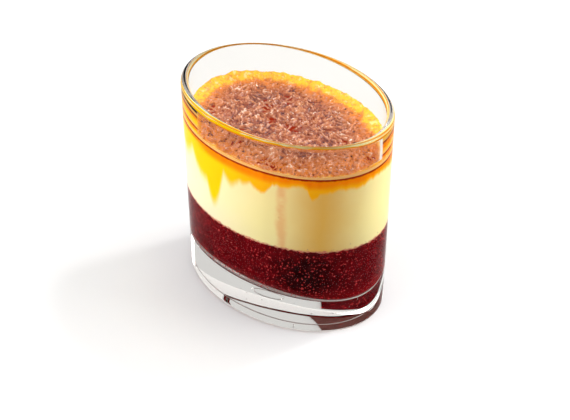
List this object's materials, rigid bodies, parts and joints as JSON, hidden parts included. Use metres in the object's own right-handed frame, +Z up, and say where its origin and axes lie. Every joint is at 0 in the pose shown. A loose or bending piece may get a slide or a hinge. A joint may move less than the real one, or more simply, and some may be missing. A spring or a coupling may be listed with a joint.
{
  "type": "creme brulee",
  "caption": "Creme brulee over a red berry layer in a thick-walled oval glass tumbler with a heavy clear base and a browned sugar crust.",
  "frame": {"origin": "centre of the underside of the glass, on the table", "axes": "+X along the long axis of the oval, +Y along its short axis, +Z up"},
  "size_m": [0.078, 0.056, 0.0717],
  "materials": {
    "clear_glass": "clear, fire-polished",
    "red_berry": "wet, with fine seeds and pulp",
    "custard": "smooth at the side, with a glossy browned sugar crust on top"
  },
  "bodies": {
    "root": {"glass": "clear_glass", "berry_layer": "red_berry", "custard_layer": "custard"}
  },
  "joints": []
}
